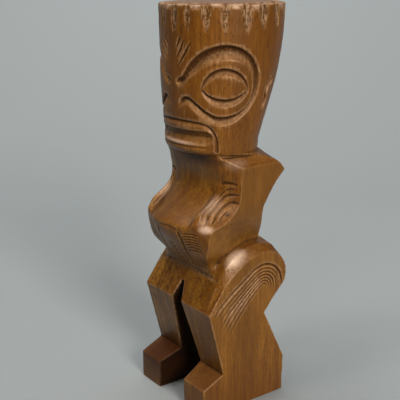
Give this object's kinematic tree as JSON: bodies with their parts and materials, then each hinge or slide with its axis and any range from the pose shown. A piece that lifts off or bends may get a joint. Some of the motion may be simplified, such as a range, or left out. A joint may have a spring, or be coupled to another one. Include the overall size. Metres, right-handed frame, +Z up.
{
  "type": "tiki statue",
  "caption": "Standing carved wooden figure with a fluted crown, ringed eyes, arms round a pointed belly and bent legs parted by a saw cut; stands on its two feet.",
  "frame": {"origin": "middle of the box round the figure, on the surface that its soles stand on", "axes": "+Z up from the soles to the crown; the figure faces -Y; +X to the figure's left side"},
  "size_m": [0.074, 0.0838, 0.25],
  "materials": {
    "oiled_hardwood": "warm brown oiled and hand-rubbed tropical hardwood, satin, with upright grain"
  },
  "bodies": {
    "root": {"tiki_figure": "oiled_hardwood"}
  },
  "joints": []
}
